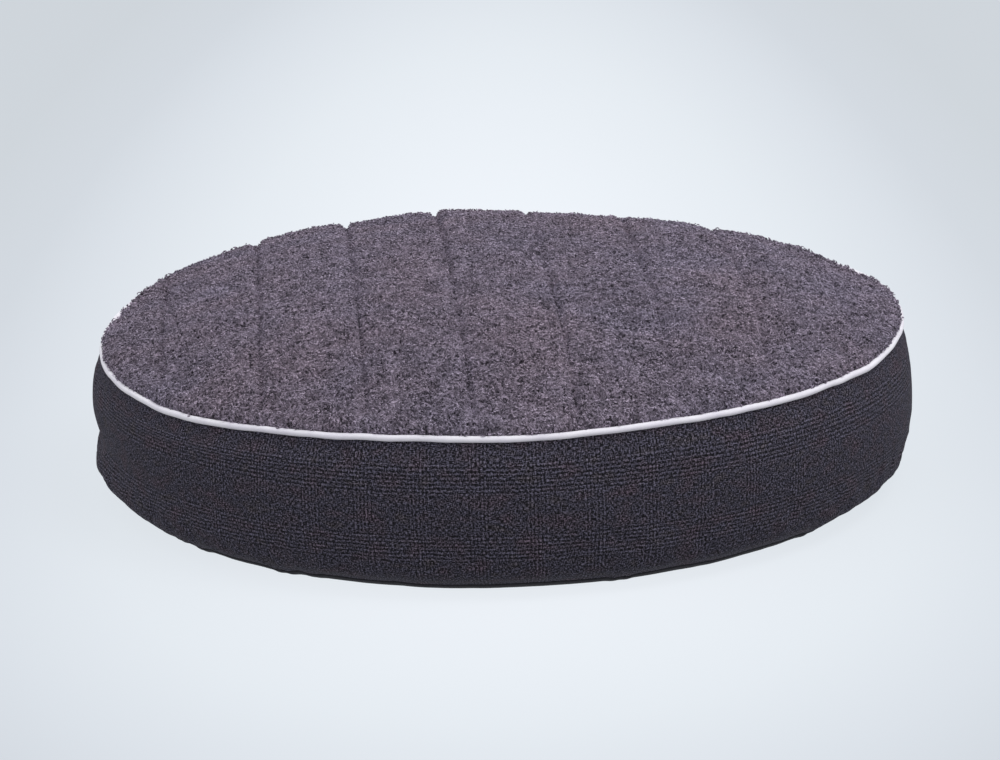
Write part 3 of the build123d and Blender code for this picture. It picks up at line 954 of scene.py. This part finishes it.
def stitched_rows(name, material, along_x, depth, node=None):
    """Running stitches along the quilting rows of one direction, at a depth under the fleece's backing."""
    pitch, long = 5.2 * MM, 4.2 * MM
    paths = []
    shift = QUILT_SHIFT[1] if along_x else QUILT_SHIFT[0]
    for number in range(-5, 6):
        off = shift + number * QUILT_PITCH
        if abs(off) > R_ROWS - 20 * MM:
            continue
        reach = math.sqrt(R_ROWS**2 - off**2)
        at = np.arange(-reach, reach, pitch)[:, None] + np.linspace(0, long, 5)[None]
        u, v = (at, off + 0 * at) if along_x else (off + 0 * at, at)
        paths.append(np.stack([
            u * math.cos(QUILT_TURN) - v * math.sin(QUILT_TURN),
            u * math.sin(QUILT_TURN) + v * math.cos(QUILT_TURN),
        ], -1))
    flat = np.vstack(paths)
    r = np.hypot(flat[..., 0], flat[..., 1])
    sag = np.array([-0.9, 0.1, 0.3, 0.1, -0.9]) * MM * np.sign(-depth)
    rows = settle(np.dstack([flat, crown(r) - depth + sag]), puffed=1.0 if depth < 0 else 0.0)
    thread = strands(name, material, rows, 0.42 * MM, (0, 0, 1), sides=5)
    return place(thread, (node,) if node else ())


def build_quilt():
    fluff = spun("wadding", rgb(238, 238, 236), rgb(222, 222, 220), 160.0, Sheen_Weight=0.3)
    wadding = disc_layer(
        "quilt_wadding_layer", fluff, R_QUILT, under_crown(0.4 * MM), under_crown(8.2 * MM), puffed=(1, 0),
    )
    place(wadding, ("quilt_wadding",))
    backing = disc_layer(
        "quilt_backing_cloth", woven("backing_cloth", rgb(222, 221, 220), rgb(200, 199, 199)),
        R_QUILT, under_crown(8.6 * MM), under_crown(9.4 * MM),
    )
    place(backing, ("quilt_backing",))
    thread = spun("quilting_thread", rgb(66, 60, 70), rgb(48, 43, 52), 900.0)
    stitched_rows("quilt_stitches_lengthwise_top", thread, False, -1.6 * MM)
    stitched_rows("quilt_stitches_crosswise_top", thread, True, -1.6 * MM)
    stitched_rows("quilt_stitches_lengthwise", thread, False, 9.9 * MM, "quilting_rows_lengthwise")
    stitched_rows("quilt_stitches_crosswise", thread, True, 9.9 * MM, "quilting_rows_crosswise")


# ---- Rings of cloth: each is a section in radius and height, turned through a span of azimuth ----
def cloth_ring(name, material, section, thickness, start=0.0, stop=FULL_TURN, cell=2.6 * MM, folds=3):
    """A strip of cloth that follows a section line, settled with its neighbours."""
    wrap = stop - start > FULL_TURN - 1e-6
    cell = cell * 1
    columns = int((stop - start) * R_BED / cell)
    angle = np.linspace(start, stop, columns, endpoint=not wrap)[None, :]
    line = evenly(section, max(int(length_of(section) / cell), 4))
    tangent = unit(np.gradient(line, axis=0))
    out = np.stack([tangent[:, 1], -tangent[:, 0]], -1) * thickness / 2
    outer, inner = (settle(polar(face[:, :1], angle, face[:, 1:])) for face in (line + out, line - out))
    size = ((stop - start) * R_BED, length_of(line))
    return shell(name, material, outer, inner, wrap, size, folds), size


def stitch_ring(name, material, radius, height, slot, node, start=0.0, stop=FULL_TURN, pitch=4.0 * MM,
                thick=0.35 * MM, proud=0.35 * MM, moves=True):
    """Running stitches round the bed at a radius and height."""
    count = int((stop - start) * radius / pitch)
    first = start + (np.arange(count) + 0.15) * (stop - start) / count
    angle = first[:, None] + np.linspace(0, 0.72, 6)[None] * (stop - start) / count
    dip = proud * np.array([-1.6, 0.0, 0.5, 0.5, 0.0, -1.6])
    rows = polar(radius + dip[None], angle, height)
    rows = settle(rows) if moves else rows
    return place(strands(name, material, rows, thick, (0, 0, 1), sides=5), (node,))


def build_band(cloth, thread):
    wall = through(WALL)
    tuck_top = through([WALL[-1], (386.5 * MM, 147.6 * MM), (380 * MM, 147.4 * MM)], 12)[1:]
    tuck_base = through([(359.5 * MM, 9.6 * MM), (365.5 * MM, 9.4 * MM), WALL[0]], 12)[:-1]
    wall_in = wall - np.array([CLOTH / 2, 0])
    front, size = cloth_ring(
        "checked_side_band", cloth, np.vstack([tuck_base, wall_in, tuck_top]), CLOTH,
        ZIP_TO + JOIN_GAP, ZIP_FROM + FULL_TURN - JOIN_GAP,
    )
    place(front, ("boxing_panel",))
    for word, side in (("upper", 1), ("lower", -1)):
        edge = ZIP_Z + side * STRIP_HALF_GAP
        keep = wall_in[(wall_in[:, 1] - edge) * side > 1.2 * MM]
        keep = keep if side > 0 else keep[::-1]
        r = keep[0, 0]
        # the fold: round the edge and back behind the face
        fold = np.array([
            (r - 1.7 * MM, edge + side * FOLD_W), (r - 1.75 * MM, edge + side * 2 * MM),
            (r - 1.2 * MM, edge + side * 0.55 * MM), (r - 0.35 * MM, edge + side * 0.5 * MM),
        ])
        line = np.vstack([through(fold, 24), keep[1:]])
        line = np.vstack([line, tuck_top]) if side > 0 else np.vstack([tuck_base, line[::-1]])
        strip, size = cloth_ring(
            f"checked_zip_strip_{word}", cloth, line, 0.9 * MM, ZIP_FROM + JOIN_GAP, ZIP_TO - JOIN_GAP,
            cell=2.0 * MM, folds=2,
        )
        place(strip, (f"zip_strip_{word}",))
        stitch_ring(
            f"zip_topstitches_{word}", thread, R_BED - 0.1 * MM, ZIP_Z + side * STITCH_OUT, "seam_thread",
            f"zip_topstitch_{word}", ZIP_FROM + 0.002, ZIP_TO - 0.002, pitch=3.4 * MM,
        )
    for word, at in (("right", ZIP_FROM - 0.004), ("left", ZIP_TO + 0.004)):
        count = int(length_of(wall) / (3.2 * MM))
        part = (np.arange(count)[:, None] + np.linspace(0.1, 0.85, 6)[None]) / count * (len(wall) - 1)
        r, z = (np.interp(part, np.arange(len(wall)), wall[:, k]) for k in range(2))
        dip = np.array([-1.0, 0.0, 0.25, 0.25, 0.0, -1.0]) * MM * 0.5
        rows = settle(polar(r + 0.1 * MM + dip[None], at, z))
        plane = (math.sin(at), -math.cos(at), 0)
        stitches = strands(f"join_stitches_{word}", thread, rows, 0.32 * MM, plane)
        place(stitches, (f"join_seam_thread_{word}",))


# ---- Piping ----
def build_piping(tape, cord):
    """A bias tape folded round a cord: a tube that runs on inward as two layers."""
    wall, reach = 0.8 * MM, 10 * MM
    slit = 0.06 * MM
    opening = math.radians(16)
    round_out = np.linspace(math.pi - opening, opening - math.pi, 26)
    round_in = np.linspace(opening / 2 - math.pi, math.pi - opening / 2, 18)
    out_r, in_r = PIPING_R, PIPING_R - wall
    section = [(out_r * math.cos(a), out_r * math.sin(a)) for a in round_out]
    section += [(-reach, -wall - slit), (-reach, -slit)]
    section += [(in_r * math.cos(a), in_r * math.sin(a)) for a in round_in]
    section += [(-reach, slit), (-reach, wall + slit)]
    section = np.array(section)
    around = 1700
    angle = np.linspace(0, FULL_TURN, around, endpoint=False)[None, :]
    cord_line = settle(polar(R_SEAM, angle, H_SEAM))
    radius = np.hypot(cord_line[..., 0], cord_line[..., 1]) + 0.6 * MM * ring_noise(angle, 0.04, 63)
    height = cord_line[..., 2] + 0.7 * MM * ring_noise(angle, 0.026, 65)
    wide, turn = np.hypot(*section.T)[:, None], np.arctan2(section[:, 1], section[:, 0])[:, None]
    wrinkle = 0.1 * (ring_noise(angle + 0.004 * turn, 0.009, 61) + ring_noise(angle + 0.02 * turn, 0.03, 67))
    wide = wide + wrinkle * MM * (wide > in_r) * (wide < out_r * 1.1)
    points = polar(radius + wide * np.cos(turn), angle, height + wide * np.sin(turn))
    rows = len(section)
    points = points.reshape(-1, 3)
    faces = outward(points, grid_faces(rows, around, True, True))
    row, column = np.divmod(faces, around)
    # where the grid joins up again, the far side is the last row or column and not the first
    column = np.where((column == 0) & (column.max(1) > 1)[:, None], around, column)
    row = np.where((row == 0) & (row.max(1) > 1)[:, None], rows, row)
    tape_size = (FULL_TURN * R_SEAM, length_of(section))
    maps = strip_maps(row, column, rows, around, tape_size, folds=10, margin=0.02)
    piping = make_mesh("white_piping", points, faces, tape, maps)
    place(piping, ("top_piping_cover",))

    # three plies twisted together inside it
    steps, twist = 2400, 150
    angle = np.linspace(0, FULL_TURN, steps)[None, :]
    phase = twist * angle + (np.arange(3) * FULL_TURN / 3)[:, None]
    line = settle(polar(R_SEAM, angle, H_SEAM))
    radius, height = np.hypot(line[..., 0], line[..., 1]), line[..., 2]
    plies = polar(radius + 1.0 * MM * np.cos(phase), angle, height + 1.0 * MM * np.sin(phase))
    plies = strands("piping_cord_plies", cord, plies, 0.95 * MM, (0, 0, 1), sides=6)
    place(plies, ("top_piping_cord",))


# ---- Zip ----
def build_zip(tape, coil, thread, metal):
    for word, side in (("upper", 1), ("lower", -1)):
        tape_node, teeth_node = f"zip_tape_{word}", f"zip_teeth_{word}"
        low, high = span(tape_node, 2)
        teeth_low, teeth_high = span(teeth_node, 2)
        # the sewn zip closes up to the slider's post
        low, teeth_low = (t - (POST_GAP if side > 0 else 0) for t in (low, teeth_low))
        high, teeth_high = (t + (POST_GAP if side < 0 else 0) for t in (high, teeth_high))
        r_tape = R_BED - 4.2 * MM
        start, stop = ZIP_FROM - math.radians(2), ZIP_TO + math.radians(2)
        line = np.array([(r_tape, low), (r_tape, high)])
        ribbon, size = cloth_ring(
            f"woven_zip_tape_{word}", tape, line, 0.8 * MM, start, stop, cell=1.8 * MM, folds=8,
        )
        place(ribbon, (tape_node,))
        # a nylon coil: an oval helix that lies along the tape's edge
        turns = int((stop - start) * R_BED / (1.7 * MM))
        steps = turns * 10
        angle = np.linspace(start, stop, steps)
        phase = np.linspace(0, turns * FULL_TURN, steps) * side
        r_mid, z_mid = R_BED - 2.6 * MM, (teeth_low + teeth_high) / 2
        wire = 0.28 * MM
        helix = polar(
            r_mid + (1.0 * MM - wire) * np.sin(phase), angle,
            z_mid + ((teeth_high - teeth_low) / 2 - wire) * np.cos(phase),
        )[None]
        around = polar(1, angle + math.pi / 2, 0)[None]
        place(strands(f"zip_coil_{word}", coil, helix, wire, around, sides=5), (teeth_node,))
    build_bar_tacks(thread)
    for node in ("zip_slider", "zip_pull"):
        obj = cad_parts[node]
        for material_slot in obj.material_slots:
            material_slot.material = metal
        weld = obj.modifiers.new("weld", "WELD")
        weld.merge_threshold = 0.01 * MM
        bevel = obj.modifiers.new("bevel", "BEVEL")
        bevel.width, bevel.segments, bevel.limit_method = 0.22 * MM, 3, "ANGLE"
        bevel.angle_limit = math.radians(40)
        bevel.harden_normals = True


def build_bar_tacks(thread):
    """A few passes of thread over each end of the zip."""
    for word in ("closed", "open"):
        node = f"zip_bar_tack_{word}"
        low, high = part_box(node)
        mid = (low + high) / 2
        angle, radius = math.atan2(mid.y, mid.x), math.hypot(mid.x, mid.y)
        passes = 9
        k = np.arange(passes)
        across = (k / (passes - 1) - 0.5) * 1.7 * MM / radius
        t = np.linspace(0, 1, 7)[None]
        height = low.z + 0.3 * MM + (high.z - low.z - 0.6 * MM) * t
        bulge = 0.25 * MM * np.sin(math.pi * t) + (k[:, None] % 2) * 0.12 * MM - 0.2 * MM
        rows = polar(radius + bulge, angle + across[:, None], height)
        plane = (-math.sin(angle), math.cos(angle), 0)
        place(strands(f"bar_tack_{word}", thread, rows, 0.2 * MM, plane), (node,))


# ---- Base and label ----
def build_base(cloth, thread):
    flat_part = np.linspace((0, 0), (R_FOOT, 0), 60)
    turned_part = through(
        [(R_FOOT, 0.0), (358 * MM, 1.8 * MM), (365 * MM, 5 * MM), (R_BASE_SEAM, H_BASE_SEAM)], 40,
    )[1:]
    under = np.vstack([flat_part, turned_part])
    under[:, 1] += 0.02 * MM
    reach = reach_along(under)
    count = 300
    x, y = (t * reach[-1] for t in square_to_disc(count))
    s, angle = np.hypot(x, y), np.arctan2(y, x)
    r, z = np.interp(s, reach, under[:, 0]), np.interp(s, reach, under[:, 1])
    creases = np.maximum(noise(x / 0.09, y / 0.09, 81), 0) * 1.2 * MM
    creases = creases * (1 - smoothstep(0.8, 0.93, s / reach[-1]))
    outer = settle(polar(r, angle, z + creases))
    turned_up = smoothstep(R_FOOT, R_BASE_SEAM, r)
    inner = settle(polar(r - CLOTH * turned_up, angle, z + creases + CLOTH * (1 - 0.6 * turned_up)))
    base = shell("base_cloth_panel", cloth, inner, outer)
    plan = np.stack([x, y], -1).reshape(-1, 2)
    add_cloth_map(base, np.vstack([plan, plan]))
    place(base, ("base_panel",))
    for word, at in (("base", BASE_SEAM_STITCHES), ("top", TOP_SEAM_STITCHES)):
        stitch_ring(f"{word}_seam_stitches", thread, *at, "seam_thread", f"{word}_seam_thread")


def build_label(ribbon):
    """A blank satin care label past the left join seam, 2 to 4 mm off the band. Nothing sews it down."""
    node = "care_label"
    low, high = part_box(node)
    height = high.z - low.z
    t, v = np.meshgrid(np.linspace(0, 1, 40), np.linspace(0, 1, 28), indexing="xy")
    angle = LABEL_AT + t * LABEL_WIDTH / R_BED
    z = low.z + v * height
    wall = np.array(WALL)
    r = np.interp(z, wall[:, 1], wall[:, 0])
    lift = (1.6 + 2.6 * t**2 + 0.5 * np.sin(3 * t + 2 * v)) * MM
    fold = settle(polar(r, angle, z))
    r_settled = np.hypot(fold[..., 0], fold[..., 1])
    outer = polar(r_settled + lift + 0.2 * MM, angle, z - 0.8 * MM * t**2)
    inner = polar(r_settled + lift - 0.2 * MM, angle, z - 0.8 * MM * t**2)
    label = shell("blank_care_label", ribbon, outer, inner, size=(LABEL_WIDTH, height))
    place(label, (node,))


# ---- Inner cushion ----
def build_inner(case, thread, fluff):
    inner = through(INNER_WALL)
    r_top = INNER_WALL[-1][0]

    def inner_crown(drop):
        rise = crown(0) - 14 * MM - H_INNER_TOP
        return lambda r: H_INNER_TOP + rise * (1 - (r / r_top) ** CROWN_POWER) - drop

    top = disc_layer("inner_case_top_cloth", case, r_top - 0.4 * MM, inner_crown(0), inner_crown(0.8 * MM))
    place(top, ("inner_case_top",))
    size = 2 * (r_top + CUT_EXTRA)
    line = inner - np.array([0.4 * MM, 0])
    side, size = cloth_ring("inner_case_side_cloth", case, line, 0.8 * MM, cell=4 * MM)
    place(side, ("inner_case_side",))
    r_base, z_base = INNER_WALL[0]
    flat_base = disc_layer(
        "inner_case_base_cloth", case, r_base - 0.5 * MM,
        lambda r: z_base - 0.6 * MM + 0 * r, lambda r: z_base - 1.4 * MM + 0 * r,
    )
    place(flat_base, ("inner_case_base",))
    for word, radius, height in (
        ("top", r_top + 1.2 * MM, H_INNER_TOP + 0.1 * MM), ("base", r_base + 0.9 * MM, z_base - 0.9 * MM),
    ):
        stitch_ring(
            f"inner_stitches_{word}", thread, radius, height, "case_thread", f"inner_seam_thread_{word}",
        )

    # loose polyester filling: a lumpy form that fills the case
    r_over = np.linspace(0, r_top - 4 * MM, 80)
    over = np.stack([r_over, inner_crown(1.5 * MM)(r_over)], -1)
    down = (inner - np.array([2.2 * MM, 0]))[::-1]
    path = np.vstack([over, down[down[:, 1] < over[-1, 1] - 2 * MM]])
    reach = reach_along(path)
    x, y = square_to_disc(170)
    s, angle = np.hypot(x, y) * reach[-1], np.arctan2(y, x)
    r, z = np.interp(s, reach, path[:, 0]), np.interp(s, reach, path[:, 1])
    lumps = np.abs(noise(x * 14, y * 14, 91)) * 1.2 * MM
    outer = settle(polar(r - lumps, angle, z - lumps))
    uneven = 0.5 * MM * np.abs(noise(x * 20, y * 20, 93)) * (np.hypot(x, y) < 0.98)
    bottom = polar(np.hypot(x, y) * path[-1, 0], angle, z_base - 0.2 * MM + uneven)
    fill = shell("fibre_filling", fluff, outer, bottom)
    place(fill, ("fibre_fill",))


# painted shade: the fleece under the locks is the same fibre given darker colours and a darker gap shade
# than the locks, standing for the shade deep in the pile
build_fleece(fleece_material("sherpa_pile", rgb(122, 114, 129), rgb(128, 116, 128), 0.15))
build_locks(fleece_material("sherpa_locks", rgb(149, 140, 157), rgb(155, 141, 155), 0.3))
build_quilt()
dark_thread = spun("seam_thread", rgb(58, 54, 62), rgb(36, 33, 40), 900.0)
build_band(checked_cloth(), dark_thread)
build_piping(piping_tape(), spun("piping_cord", rgb(238, 236, 230), rgb(216, 213, 205), 500.0))
build_zip(
    woven("zip_tape", rgb(44, 41, 47), rgb(28, 26, 31), 0.0006),
    spun("zip_coil", rgb(46, 46, 50), rgb(30, 30, 33), 300.0, Roughness=0.4),
    dark_thread, dark_metal(),
)
build_base(woven("base_cloth", rgb(44, 43, 48), rgb(28, 27, 31), 0.0012), dark_thread)
build_label(woven("label_ribbon", rgb(232, 230, 227), rgb(212, 210, 206), 0.0004, Roughness=0.45))
build_inner(
    woven("case_cotton", rgb(234, 232, 226), rgb(212, 210, 204)),
    spun("case_thread", rgb(232, 231, 228), rgb(205, 204, 200), 900.0),
    spun("fibre_fill", rgb(244, 244, 243), rgb(226, 226, 225), 120.0, Sheen_Weight=0.4),
)
